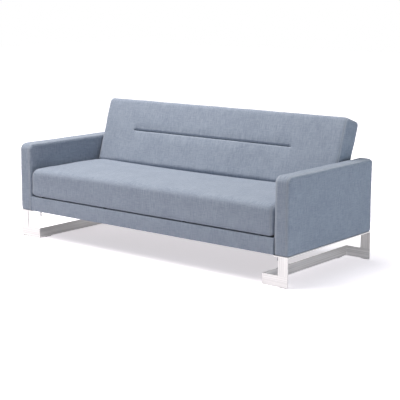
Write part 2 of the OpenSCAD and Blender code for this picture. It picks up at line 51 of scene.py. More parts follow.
# The back and the seat turn on one line. The flat back is level, so its travel gives its lean.
recline = frame["joints"][0]
pivot = np.array(recline["pos_m"], float)
lean = math.radians(90 - recline["range_deg"][1])
backOut = np.array([0, math.cos(lean), -math.sin(lean)])
backUp = np.array([0, math.sin(lean), math.cos(lean)])


def cadSpan(name, axis):
    points = np.array([v.co for v in frame["nodes"][name].data.vertices])
    along = (points - pivot) @ axis
    return along.min(), along.max()


def newObject(name, points, faces):
    mesh = bpy.data.meshes.new(name)
    mesh.from_pydata([tuple(p) for p in points], [], faces)
    piece = bpy.data.objects.new(name, mesh)
    scene.collection.objects.link(piece)
    return piece


def pointsOf(piece):
    flat = np.empty(len(piece.data.vertices) * 3)
    piece.data.vertices.foreach_get("co", flat)
    return flat.reshape(-1, 3)


def normalsOf(piece):
    flat = np.empty(len(piece.data.vertices) * 3)
    piece.data.vertex_normals.foreach_get("vector", flat)
    return flat.reshape(-1, 3)


def setPoints(piece, points):
    piece.data.vertices.foreach_set("co", np.ascontiguousarray(points).ravel())
    piece.data.update()


def bake(piece):
    graph = bpy.context.evaluated_depsgraph_get()
    mesh = bpy.data.meshes.new_from_object(piece.evaluated_get(graph))
    piece.modifiers.clear()
    piece.data = mesh


def smoothShade(piece):
    piece.data.polygons.foreach_set("use_smooth", [True] * len(piece.data.polygons))


def fade(value, start, end):
    share = np.clip((value - start) / (end - start), 0, 1)
    return share * share * (3 - 2 * share)


# Smooth seeded noise of about -1 to 1, as a sum of plane waves
def ripple(points, length, seed, waves=14):
    spin = np.random.default_rng(seed)
    total = np.zeros(len(points))
    for _ in range(waves):
        aim = spin.normal(size=3)
        aim *= 2 * math.pi / (np.linalg.norm(aim) * length * spin.uniform(0.7, 1.5))
        total += np.sin(points @ aim + spin.uniform(0, 2 * math.pi))
    return total / math.sqrt(waves)


# Points of a ball, and of a level ring
def ballPoints(centre, radius, turns=20):
    rise = np.linspace(-math.pi / 2, math.pi / 2, turns // 2 + 1)
    turn = np.linspace(0, 2 * math.pi, turns, endpoint=False)
    r, t = [g.ravel() for g in np.meshgrid(rise, turn)]
    ball = np.stack([np.cos(r) * np.cos(t), np.cos(r) * np.sin(t), np.sin(r)], 1)
    return np.array(centre) + radius * ball


def ringPoints(centre, radius, turns=20):
    t = np.linspace(0, 2 * math.pi, turns, endpoint=False)
    return np.array(centre) + radius * np.stack([np.cos(t), np.sin(t), 0 * t], 1)


def hullOf(name, points):
    shape = bmesh.new()
    for p in points:
        shape.verts.new(p)
    made = bmesh.ops.convex_hull(shape, input=shape.verts[:])
    spare = {v for v in made["geom_interior"] + made["geom_unused"] if isinstance(v, bmesh.types.BMVert)}
    bmesh.ops.delete(shape, geom=list(spare), context="VERTS")
    mesh = bpy.data.meshes.new(name)
    shape.to_mesh(mesh)
    shape.free()
    piece = bpy.data.objects.new(name, mesh)
    scene.collection.objects.link(piece)
    return piece


# Centre of the rounding at each corner of a convex outline
def cornerCentres(outline, radii):
    centres = []
    for i, radius in enumerate(radii):
        here = np.array(outline[i])
        toLast = np.array(outline[i - 1]) - here
        toNext = np.array(outline[(i + 1) % len(outline)]) - here
        toLast /= np.linalg.norm(toLast)
        toNext /= np.linalg.norm(toNext)
        middle = toLast + toNext
        halfSine = math.sqrt((1 - toLast @ toNext) / 2)
        centres.append(here + middle / np.linalg.norm(middle) * radius / halfSine)
    return centres


# One corner of a soft block's side view: its rounding from the side, the ball that smooths it, its
# rounding from the front (rising with 1, falling with -1) and from above, across and in depth
def blockCorner(across, height, radius, ball=None, end=None, rising=1, plan=(0, 0)):
    return {
        "spot": (across, height),
        "radius": radius,
        "ball": radius if ball is None else ball,
        "end": radius if end is None else end,
        "rising": rising,
        "plan": plan,
    }


# Long soft block between two mirrored ends, wrapped round balls that follow each corner's roundings
def softBlock(name, corners, halfX, extra=()):
    points = list(extra)
    centres = cornerCentres([c["spot"] for c in corners], [c["radius"] for c in corners])
    for corner, centre in zip(corners, centres):
        ball, planX, planY = corner["ball"], *corner["plan"]
        sweep = corner["radius"] - ball
        ring = np.linspace(0, 2 * math.pi, 24, endpoint=False) if sweep > 0 else [0]
        ballTurns = 14 if sweep > 0 else 20
        spread = corner["end"] - ball
        wide = max(spread, planX - ball)
        for t in np.linspace(0, math.pi / 2, 6) if wide > 0 else [0]:
            x = halfX - ball - wide * (1 - math.sin(t))
            drop = corner["rising"] * spread * (1 - math.cos(t))
            inward = max(planY - ball, 0) * (1 - math.cos(t))
            for a in ring:
                y = centre[0] + sweep * math.cos(a) + inward
                z = centre[1] + sweep * math.sin(a) + drop
                points += [ballPoints((s * x, y, z), ball, ballTurns) for s in (-1, 1)]
    return hullOf(name, np.concatenate(points))


def cutAway(piece, cutters):
    for cutter in cutters:
        cut = piece.modifiers.new("cut", "BOOLEAN")
        cut.operation = "DIFFERENCE"
        cut.solver = "EXACT"
        cut.object = cutter
    bake(piece)
    for cutter in cutters:
        bpy.data.objects.remove(cutter)


def boxBetween(low, high):
    xs, ys, zs = zip(low, high)
    return hullOf("cutter", [(x, y, z) for x in xs for y in ys for z in zs])


# Room for the hinge at both ends of a pad. Margin and run are how far round it the stuffing is left out.
pocket = {"radius": 0.029, "inner": 0.9035, "past": 0.01, "margin": 0.012, "run": 0.02}


def hingePockets(centre, halfX):
    ring = ringPoints((0, 0, 0), pocket["radius"], 32)[:, [2, 0, 1]]
    cutters = []
    for side in (-1, 1):
        ends = [ring + (side * x, *centre) for x in (pocket["inner"], halfX + pocket["past"])]
        cutters.append(hullOf("cutter", np.concatenate(ends)))
    return cutters


def besideHinge(place, centre):
    near = np.hypot(place[:, 1] - centre[0], place[:, 2] - centre[1]) < pocket["radius"] + pocket["margin"]
    return near & (np.abs(place[:, 0]) > pocket["inner"] - pocket["run"])


def remesh(piece, size):
    grid = piece.modifiers.new("grid", "REMESH")
    grid.mode = "VOXEL"
    grid.voxel_size = size
    bake(piece)


stuffing = {"share": 0.8, "pressure": 4.0, "frames": 20, "quality": 3, "pinnedBelow": 0.0004}


# Stuffing pushes the cut shape out by most of its limit, in metres; the blown-up cloth then
# settles by the rest of it, out over the faces and in at the corners
def puff(piece, limit):
    full = pointsOf(piece) + normalsOf(piece) * (stuffing["share"] * limit)[:, None]
    setPoints(piece, full)
    pinned = piece.vertex_groups.new(name="pinned")
    pinned.add([int(i) for i in np.flatnonzero(limit < stuffing["pinnedBelow"])], 1.0, "REPLACE")
    cover = piece.modifiers.new("cover", "CLOTH")
    cover.settings.vertex_group_mass = "pinned"
    cover.settings.quality = stuffing["quality"]
    cover.settings.use_pressure = True
    cover.settings.uniform_pressure_force = stuffing["pressure"]
    cover.settings.effector_weights.gravity = 0
    cover.point_cache.frame_start = 1
    cover.point_cache.frame_end = stuffing["frames"]
    for number in range(1, stuffing["frames"] + 1):
        scene.frame_set(number)
    bake(piece)
    scene.frame_set(1)
    tiny = 1e-9  # keeps the two shares below from dividing by nothing
    moved = pointsOf(piece) - full
    far = np.linalg.norm(moved, axis=1) + tiny
    slack = (1 - stuffing["share"]) * limit
    setPoints(piece, full + moved * (slack * np.tanh(far / (slack + tiny)) / far)[:, None])
    piece.vertex_groups.clear()


# Evens out the voxel steps, then subdivides once
def settle(piece, rounds=5, strength=0.5):
    relax = piece.modifiers.new("relax", "SMOOTH")
    relax.factor = strength
    relax.iterations = rounds
    finer = piece.modifiers.new("finer", "SUBSURF")
    finer.levels = 1
    finer.render_levels = 1
    bake(piece)
    smoothShade(piece)


# Bell curve that is 1 at no distance
def bell(distance, width):
    return np.exp(-((distance / width) ** 2))


# Seams draw the cloth in along their line, and folds, each (stretch, length, seed, share), run
# over it. Shown is 0 where the surface lies against something, and 1 where it can be seen.
def workCloth(piece, middle, halfX, look, shown):
    place, facing = pointsOf(piece), normalsOf(piece)
    gap = np.abs(np.abs(place[:, 0] - middle) - (halfX - look["seamInset"]))
    move = -look["seamDraw"] * bell(gap, look["seamWidth"])
    for stretch, length, seed, share in look["folds"]:
        move += look["creases"] * share * ripple(place * stretch, length, seed)
    setPoints(piece, place + facing * (move * shown)[:, None])


def mirrored(piece, name):
    twin = bpy.data.objects.new(name, piece.data.copy())
    scene.collection.objects.link(twin)
    setPoints(twin, pointsOf(piece) * (-1, 1, 1))
    twin.data.flip_normals()
    return twin


def wire(tree, value, socket):
    if isinstance(value, bpy.types.NodeSocket):
        tree.links.new(value, socket)
    else:
        socket.default_value = value


def addNode(tree, kind, *values, **settings):
    made = tree.nodes.new("ShaderNode" + kind)
    for key, value in settings.items():
        setattr(made, key, value)
    for socket, value in zip(made.inputs, values):
        wire(tree, value, socket)
    return made


def calc(tree, operation, *values):
    return addNode(tree, "Math", *values, operation=operation).outputs[0]


def noiseAt(tree, place, stretch, detail=1.0):
    stretched = addNode(tree, "VectorMath", place, stretch, operation="MULTIPLY").outputs[0]
    made = addNode(tree, "TexNoise", stretched)
    made.inputs["Scale"].default_value = 1
    made.inputs["Detail"].default_value = detail
    return made.outputs[0]


def rangeOf(tree, value, low, high, toLow=0.0, toHigh=1.0):
    made = addNode(tree, "MapRange", value, low, high, toLow, toHigh, interpolation_type="SMOOTHSTEP")
    return made.outputs[0]


def mixColor(tree, share, low, high, way="MIX"):
    made = tree.nodes.new("ShaderNodeMix")
    made.data_type = "RGBA"
    made.blend_type = way
    wire(tree, share, made.inputs[0])
    wire(tree, low, made.inputs[6])
    wire(tree, high, made.inputs[7])
    return made.outputs[2]


def newGroup(name, inputs, outputs):
    tree = bpy.data.node_groups.new(name, "ShaderNodeTree")
    for label, (kind, value) in inputs.items():
        socket = tree.interface.new_socket(label, in_out="INPUT", socket_type="NodeSocket" + kind)
        socket.default_value = value
    for label, kind in outputs.items():
        tree.interface.new_socket(label, in_out="OUTPUT", socket_type="NodeSocket" + kind)
    return tree, tree.nodes.new("NodeGroupInput"), tree.nodes.new("NodeGroupOutput")


# Rest place of a point, split, and which way its face looks: sideways, level or upright
def placeNodes(tree):
    place = addNode(tree, "TexCoord")
    xyz = addNode(tree, "SeparateXYZ", place.outputs["Object"]).outputs
    facing = addNode(tree, "SeparateXYZ", place.outputs["Normal"]).outputs
    nx, ny, nz = [calc(tree, "ABSOLUTE", f) for f in facing]
    sideways = calc(tree, "GREATER_THAN", nx, calc(tree, "MAXIMUM", ny, nz))
    level = calc(tree, "GREATER_THAN", nz, calc(tree, "MAXIMUM", nx, ny))
    return place.outputs["Object"], xyz, sideways, level


# Noise repeats per metre, across and along a thread or a slub, and each one's share of the tone:
# warp, weft, warp slubs, weft slubs, cloud
weaveLook = {
    "thread": (560, 26),
    "slub": (210, 14),
    "cloud": 7,
    "shares": (0.30, 0.26, 0.20, 0.14, 0.10),
    "tone": (0.40, 0.60),
    "threadRelief": 1.2,
    "relief": 0.00011,
    "roughness": (0.92, 0.82),
}


# Slubbed plain weave: warp runs up the upright faces, weft along them
def weaveGroup():
    tree, given, out = newGroup(
        "slubWeave",
        {"Light": ("Color", (1, 1, 1, 1)), "Dark": ("Color", (0, 0, 0, 1)), "Pitch": ("Float", 0.0016)},
        {"Color": "Color", "Height": "Float", "Roughness": "Float"},
    )
    place, (x, y, z), sideways, level = placeNodes(tree)
    across = calc(tree, "ADD", x, calc(tree, "MULTIPLY", sideways, calc(tree, "SUBTRACT", y, x)))
    along = calc(tree, "ADD", z, calc(tree, "MULTIPLY", level, calc(tree, "SUBTRACT", y, z)))
    flat = addNode(tree, "CombineXYZ", across, along).outputs[0]
    fine, run = weaveLook["thread"]
    slubFine, slubRun = weaveLook["slub"]
    warp = noiseAt(tree, flat, (fine, run, 1))
    weft = noiseAt(tree, flat, (run, fine, 1))
    warpSlub = noiseAt(tree, flat, (slubFine, slubRun, 1))
    weftSlub = noiseAt(tree, flat, (slubRun, slubFine, 1))
    cloud = noiseAt(tree, place, [weaveLook["cloud"]] * 3)
    tone = 0
    for share, part in zip(weaveLook["shares"], (warp, weft, warpSlub, weftSlub, cloud)):
        tone = calc(tree, "MULTIPLY_ADD", part, share, tone)
    tone = rangeOf(tree, tone, *weaveLook["tone"])
    turn = calc(tree, "DIVIDE", 2 * math.pi, given.outputs["Pitch"])
    over = calc(tree, "SINE", calc(tree, "MULTIPLY", across, turn))
    under = calc(tree, "SINE", calc(tree, "MULTIPLY", along, turn))
    knot = calc(tree, "MULTIPLY", over, under)
    wire(tree, mixColor(tree, tone, given.outputs["Dark"], given.outputs["Light"]), out.inputs["Color"])
    thread = knot
    for part in (weft, warp):
        thread = calc(tree, "MULTIPLY_ADD", part, weaveLook["threadRelief"], thread)
    wire(tree, calc(tree, "MULTIPLY", thread, weaveLook["relief"]), out.inputs["Height"])
    wire(tree, rangeOf(tree, tone, 0, 1, *weaveLook["roughness"]), out.inputs["Roughness"])
    return tree


# Distances from the seam's line over which each effect fades, and its stitches
seamLook = {
    "line": (0.0003, 0.0016),
    "paintedHighlight": (0.002, 0.010),
    "stitchPitch": 0.004,
    "stitch": (-0.2, 0.5),
    "stitchRelief": 0.0003,
    "depth": 0.0009,
}


# A pair of sewn seams at one distance to each side of a middle plane
def seamGroup():
    tree, given, out = newGroup(
        "sewnSeam",
        {"Across": ("Float", 0), "Middle": ("Float", 0), "Half": ("Float", 1), "Along": ("Float", 0)},
        {"Mask": "Float", "PaintedHighlight": "Float", "Height": "Float"},
    )
    offset = calc(tree, "SUBTRACT", given.outputs["Across"], given.outputs["Middle"])
    fromMiddle = calc(tree, "ABSOLUTE", offset)
    gap = calc(tree, "ABSOLUTE", calc(tree, "SUBTRACT", fromMiddle, given.outputs["Half"]))
    line = rangeOf(tree, gap, *seamLook["line"], 1, 0)
    # Painted highlight: the colour is lightened over this band beside each seam line
    paintedHighlight = rangeOf(tree, gap, *seamLook["paintedHighlight"], 1, 0)
    turn = 2 * math.pi / seamLook["stitchPitch"]
    beat = calc(tree, "SINE", calc(tree, "MULTIPLY", given.outputs["Along"], turn))
    stitch = calc(tree, "MULTIPLY", line, rangeOf(tree, beat, *seamLook["stitch"]))
    dip = calc(tree, "MULTIPLY", line, -seamLook["depth"])
    wire(tree, line, out.inputs["Mask"])
    wire(tree, paintedHighlight, out.inputs["PaintedHighlight"])
    wire(tree, calc(tree, "MULTIPLY_ADD", stitch, seamLook["stitchRelief"], dip), out.inputs["Height"])
    return tree


brushLook = {
    "fine": 240,
    "run": 1.2,
    "detail": 5,
    "smear": 4,
    "smearShare": 0.15,
    "tone": (0.35, 0.65),
    "relief": 0.00002,
    "grainRoughness": 0.14,
    "roughness": (0.26, 0.30),
}


# Brushed flat bars: the grain runs along each bar
def brushedGroup():
    tree, given, out = newGroup(
        "brushedBar",
        {"Light": ("Color", (1, 1, 1, 1)), "Dark": ("Color", (0, 0, 0, 1)), "Bar Top": ("Float", 0.06)},
        {"Color": "Color", "Height": "Float", "Roughness": "Float"},
    )
    place, (_, _, z), sideways, level = placeNodes(tree)
    fine, run = brushLook["fine"], brushLook["run"]
    grains = []
    for stretch in ((run, fine, fine), (fine, run, fine), (fine, fine, run)):
        grains.append(noiseAt(tree, place, stretch, brushLook["detail"]))
    grainX, grainY, grainZ = grains
    above = calc(tree, "GREATER_THAN", z, given.outputs["Bar Top"])
    upright = calc(tree, "MULTIPLY_ADD", above, calc(tree, "SUBTRACT", grainZ, grainX), grainX)
    lengthwise = calc(tree, "MAXIMUM", sideways, level)
    grain = calc(tree, "MULTIPLY_ADD", lengthwise, calc(tree, "SUBTRACT", grainY, upright), upright)
    smear = noiseAt(tree, place, [brushLook["smear"]] * 3, 1)
    share = brushLook["smearShare"]
    tone = calc(tree, "MULTIPLY_ADD", grain, 1 - share, calc(tree, "MULTIPLY", smear, share))
    tone = rangeOf(tree, tone, *brushLook["tone"])
    wire(tree, mixColor(tree, tone, given.outputs["Dark"], given.outputs["Light"]), out.inputs["Color"])
    wire(tree, calc(tree, "MULTIPLY", grain, brushLook["relief"]), out.inputs["Height"])
    rough = rangeOf(tree, smear, 0.3, 0.7, *brushLook["roughness"])
    rough = calc(tree, "MULTIPLY_ADD", grain, brushLook["grainRoughness"], rough)
    wire(tree, rough, out.inputs["Roughness"])
    return tree


timberLook = {
    "rings": 18,
    "wander": 5,
    "wanderDetail": 0.6,
    "bend": (2, 6, 6),
    "fibre": (16, 260, 260),
    "ringShare": 0.45,
    "fibreShare": 0.4,
    "bendShare": 0.25,
    "relief": 0.0002,
    "roughness": (0.6, 0.8),
}


# Sawn softwood: long rings that bend a little, with fibres along the board
def timberGroup():
    tree, given, out = newGroup(
        "sawnTimber",
        {"Light": ("Color", (1, 1, 1, 1)), "Dark": ("Color", (0, 0, 0, 1))},
        {"Color": "Color", "Height": "Float", "Roughness": "Float"},
    )
    place = addNode(tree, "TexCoord").outputs["Object"]
    bend = noiseAt(tree, place, timberLook["bend"], 2)
    rings = addNode(tree, "TexWave", place, wave_type="RINGS", rings_direction="X")
    rings.inputs["Scale"].default_value = timberLook["rings"]
    rings.inputs["Distortion"].default_value = timberLook["wander"]
    rings.inputs["Detail Scale"].default_value = timberLook["wanderDetail"]
    fibre = noiseAt(tree, place, timberLook["fibre"], 2)
    tone = calc(tree, "MULTIPLY", fibre, timberLook["fibreShare"])
    tone = calc(tree, "MULTIPLY_ADD", rings.outputs[1], timberLook["ringShare"], tone)
    tone = calc(tree, "MULTIPLY_ADD", bend, timberLook["bendShare"], tone)
    wire(tree, mixColor(tree, tone, given.outputs["Light"], given.outputs["Dark"]), out.inputs["Color"])
    wire(tree, calc(tree, "MULTIPLY", fibre, timberLook["relief"]), out.inputs["Height"])
    wire(tree, rangeOf(tree, fibre, 0.3, 0.7, *timberLook["roughness"]), out.inputs["Roughness"])
    return tree


speckleLook = {
    "patch": 14,
    "patchShare": 0.5,
    "tone": (0.35, 0.65),
    "toneRoughness": 0.12,
}


# Fine grain for plain plated, cloth and rubber parts
def speckleGroup():
    tree, given, out = newGroup(
        "fineSpeckle",
        {"Light": ("Color", (1, 1, 1, 1)), "Dark": ("Color", (0, 0, 0, 1)), "Size": ("Float", 0.002),
         "Relief": ("Float", 0.0001), "Roughness": ("Float", 0.6)},
        {"Color": "Color", "Height": "Float", "Roughness": "Float"},
    )
    place = addNode(tree, "TexCoord").outputs["Object"]
    scale = calc(tree, "DIVIDE", 1, given.outputs["Size"])
    grain = addNode(tree, "TexNoise", place)
    wire(tree, scale, grain.inputs["Scale"])
    grain.inputs["Detail"].default_value = 3
    patch = noiseAt(tree, place, [speckleLook["patch"]] * 3, 2)
    share = speckleLook["patchShare"]
    tone = calc(tree, "MULTIPLY", grain.outputs[0], 1 - share)
    tone = rangeOf(tree, calc(tree, "MULTIPLY_ADD", patch, share, tone), *speckleLook["tone"])
    wire(tree, mixColor(tree, tone, given.outputs["Dark"], given.outputs["Light"]), out.inputs["Color"])
    wire(tree, calc(tree, "MULTIPLY", grain.outputs[0], given.outputs["Relief"]), out.inputs["Height"])
    rough = calc(tree, "MULTIPLY_ADD", tone, speckleLook["toneRoughness"], given.outputs["Roughness"])
    wire(tree, rough, out.inputs["Roughness"])
    return tree


groups = {
    "weave": weaveGroup(),
    "seam": seamGroup(),
    "brushed": brushedGroup(),
    "timber": timberGroup(),
    "speckle": speckleGroup(),
}


def newMaterial(name):
    material = bpy.data.materials.new(name)
    material.use_nodes = True
    return material, material.node_tree, material.node_tree.nodes["Principled BSDF"]


def useGroup(tree, key, **inputs):
    made = tree.nodes.new("ShaderNodeGroup")
    made.node_tree = groups[key]
    for label, value in inputs.items():
        wire(tree, value, made.inputs[label.replace("_", " ")])
    return made


def finish(tree, shader, color, roughness, height):
    wire(tree, color, shader.inputs["Base Color"])
    wire(tree, roughness, shader.inputs["Roughness"])
    bump = tree.nodes.new("ShaderNodeBump")
    bump.inputs["Distance"].default_value = 1
    wire(tree, height, bump.inputs["Height"])
    wire(tree, bump.outputs[0], shader.inputs["Normal"])


cloth = {
    "light": (0.345, 0.388, 0.470, 1),
    "dark": (0.245, 0.285, 0.365, 1),
    "pitch": 0.0016,
    "sheen": 0.22,
    "sheenRoughness": 0.45,
    "specular": 0.15,
    # seamHighlight lightens the colour beside the seams, a painted highlight; seamShare and shadow paint shade on
    # the seam lines
    "seamHighlight": 0.10,
    "seamShare": 0.35,
    "shadow": (0.06, 0.09, 0.14, 1),
    # endShadeFade and endShadeShare set the painted shade at the rail wraps' ends beside the arms
    "endShadeFade": (0.006, 0.001),
    "endShadeShare": 0.5,
}


def clothShader(name):
    material, tree, shader = newMaterial(name)
    shader.inputs["Sheen Weight"].default_value = cloth["sheen"]
    shader.inputs["Sheen Roughness"].default_value = cloth["sheenRoughness"]
    shader.inputs["Specular IOR Level"].default_value = cloth["specular"]
    weave = useGroup(tree, "weave", Light=cloth["light"], Dark=cloth["dark"], Pitch=cloth["pitch"])
    return material, tree, shader, weave


# Colour with a painted highlight beside a pair of seams, how dark the seam lines are painted with shadow, and the
# height of both
def seamed(tree, weave, xyz, middle, half):
    x, y, z = xyz
    seam = useGroup(tree, "seam", Across=x, Middle=middle, Half=half, Along=calc(tree, "ADD", y, z))
    # Painted highlight beside the seams, and painted shadow on the seam lines
    seamHighlight = calc(tree, "MULTIPLY", seam.outputs["PaintedHighlight"], cloth["seamHighlight"])
    color = mixColor(tree, seamHighlight, weave.outputs["Color"], (1, 1, 1, 1))
    dark = calc(tree, "MULTIPLY", seam.outputs["Mask"], cloth["seamShare"])
    return color, dark, calc(tree, "ADD", weave.outputs["Height"], seam.outputs["Height"])


# Upholstery with a pair of seams beside its ends
def sewnCloth(name, middle, half):
    material, tree, shader, weave = clothShader(name)
    _, xyz, _, _ = placeNodes(tree)
    color, dark, height = seamed(tree, weave, xyz, middle, half)
    color = mixColor(tree, dark, color, cloth["shadow"])
    finish(tree, shader, color, weave.outputs["Roughness"], height)
    return material


# Upholstery with painted shade at its ends, where it turns in beside the arms
def railCloth(name, reach):
    material, tree, shader, weave = clothShader(name)
    _, (x, _, _), _, _ = placeNodes(tree)
    start, end = [reach - inset for inset in cloth["endShadeFade"]]
    # Painted shade over the last few millimetres of each end, beside the arms
    endShade = rangeOf(tree, calc(tree, "ABSOLUTE", x), start, end)
    dark = calc(tree, "MULTIPLY", endShade, cloth["endShadeShare"])
    color = mixColor(tree, dark, weave.outputs["Color"], cloth["shadow"])
    finish(tree, shader, color, weave.outputs["Roughness"], weave.outputs["Height"])
    return material


def plainCloth(name):
    material, tree, shader, weave = clothShader(name)
    finish(tree, shader, weave.outputs["Color"], weave.outputs["Roughness"], weave.outputs["Height"])
    return material


def groupMaterial(name, key, metallic, **inputs):
    material, tree, shader = newMaterial(name)
    shader.inputs["Metallic"].default_value = metallic
    made = useGroup(tree, key, **inputs)
    finish(tree, shader, made.outputs["Color"], made.outputs["Roughness"], made.outputs["Height"])
    return material


barTop = 0.063  # the floor bars' grain runs along them up to here, and up the plates above
slotMaterials = {
    "leg_steel": groupMaterial(
        "brushedSteel", "brushed", 1.0,
        Light=(0.885, 0.875, 0.87, 1), Dark=(0.67, 0.665, 0.66, 1), Bar_Top=barTop),
    "zinc_steel": groupMaterial(
        "zincPlate", "speckle", 1.0,
        Light=(0.24, 0.26, 0.285, 1), Dark=(0.14, 0.155, 0.17, 1),
        Size=0.004, Relief=0.00004, Roughness=0.32),
    "timber": groupMaterial(
        "sawnPine", "timber", 0.0,
        Light=(0.66, 0.47, 0.27, 1), Dark=(0.42, 0.25, 0.12, 1)),
    "dark_cloth": groupMaterial(
        "blackCloth", "speckle", 0.0,
        Light=(0.045, 0.045, 0.05, 1), Dark=(0.018, 0.018, 0.02, 1),
        Size=0.0012, Relief=0.0003, Roughness=0.82),
    "rubber": groupMaterial(
        "mattRubber", "speckle", 0.0,
        Light=(0.075, 0.08, 0.085, 1), Dark=(0.04, 0.043, 0.048, 1),
        Size=0.0008, Relief=0.0001, Roughness=0.68),
}


def dress(piece, material, body):
    piece.data.materials.clear()
    piece.data.materials.append(material)
    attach(piece, body)
    print("made", piece.name, len(piece.data.polygons), "faces")


arm = {
    "edge": 0.008,
    "topEdge": 0.018,
    "noseRadius": 0.040,
    "tailEdge": 0.010,
    "grid": 0.006,
    "sidePuff": 0.0018,
    "endPuff": 0.0015,
    "topPuff": 0.010,
    "grounded": (0.002, 0.03),
    "seamInset": 0.012,
    "seamDraw": 0.0009,
    "seamWidth": 0.004,
    "creases": 0.0005,
    "folds": (((1.4, 1, 1), 0.16, 11, 1), ((1, 1, 2.2), 0.05, 12, 0.5)),
    "flatFoot": 0.02,
}


def makeArm():
    low, high = [np.array(corner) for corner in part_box("right_arm_cover")]
    edge, top, tail = arm["edge"], arm["topEdge"], arm["tailEdge"]
    roll = arm["noseRadius"] - top
    points = []
    for side, inward in ((low[0], 1), (high[0], -1)):
        for y in (low[1] + edge, high[1] - edge):
            points.append(ringPoints((side + inward * edge, y, low[2]), edge))
        x = side + inward * top
        for t in np.linspace(0, math.pi / 2, 5):
            y = low[1] + top + roll * (1 - math.sin(t))
            points.append(ballPoints((x, y, high[2] - top - roll * (1 - math.cos(t))), top))
        points.append(ballPoints((side + inward * tail, high[1] - tail, high[2] - top), tail))
        points.append(ballPoints((x, high[1] - top, high[2] - top), top))
        points.append(ballPoints((x, high[1] - tail, high[2] - tail), tail))
    piece = hullOf("right_arm_pad", np.concatenate(points))
    remesh(piece, arm["grid"])
    place, facing = pointsOf(piece), normalsOf(piece)
    start, end = arm["grounded"]
    loose = fade(place[:, 2], low[2] + start, low[2] + end) * (facing[:, 2] > -0.5)
    sides = arm["sidePuff"] * np.abs(facing[:, 0]) + arm["endPuff"] * np.abs(facing[:, 1])
    tops = arm["topPuff"] * np.clip(facing[:, 2], 0, 1)
    puff(piece, loose * (sides + tops))
    settle(piece)
    middle, halfX = (low[0] + high[0]) / 2, (high[0] - low[0]) / 2
    shown = fade(pointsOf(piece)[:, 2], low[2], low[2] + arm["flatFoot"])
    workCloth(piece, middle, halfX, arm, shown)
    return piece, middle, halfX - arm["seamInset"]


rightArm, armMiddle, armSeam = makeArm()
leftArm = mirrored(rightArm, "left_arm_pad")
dress(rightArm, sewnCloth("armCloth", armMiddle, armSeam), "base")
dress(leftArm, sewnCloth("leftArmCloth", -armMiddle, armSeam), "base")
for piece, node in ((rightArm, "right_arm_cover"), (leftArm, "left_arm_cover")):
    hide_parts(node)

seat = {
    "noseRadius": 0.034,
    "noseBall": 0.024,
    "noseEnd": 0.034,
    "nosePlan": (0.024, 0.024),
    "lowRadius": 0.014,
    "lowEnd": 0.026,
    "creaseRadius": 0.008,
    "creaseEnd": 0.02,
    "rearRadii": (0.003, 0.006),
    "notch": 0.0512,
    "drop": 0.003,
    "hang": 0.0045,
    "frameSetback": 0.026,
    "frameEdge": 0.010,
    "border": 0.024,
    "recess": 0.02,
    "recessMargin": 0.004,
    "sideLip": 0.010,
    "frontLip": 0.012,
    "grid": 0.0075,
    "crown": 0.008,
    "depthCrown": 0.013,
    "rearLift": 0.014,
    "liftInset": 0.12,
    "topPuff": 0.003,
    "frontPuff": 0.004,
    "endPuff": 0.0058,
    "endFade": (0.04, 0.20),
    "seamInset": 0.012,
    "seamDraw": 0.0012,
    "seamWidth": 0.006,
    "creases": 0.0007,
    "folds": (((0.5, 1, 1), 0.13, 21, 1), ((2, 0.7, 1), 0.09, 22, 0.5)),
}


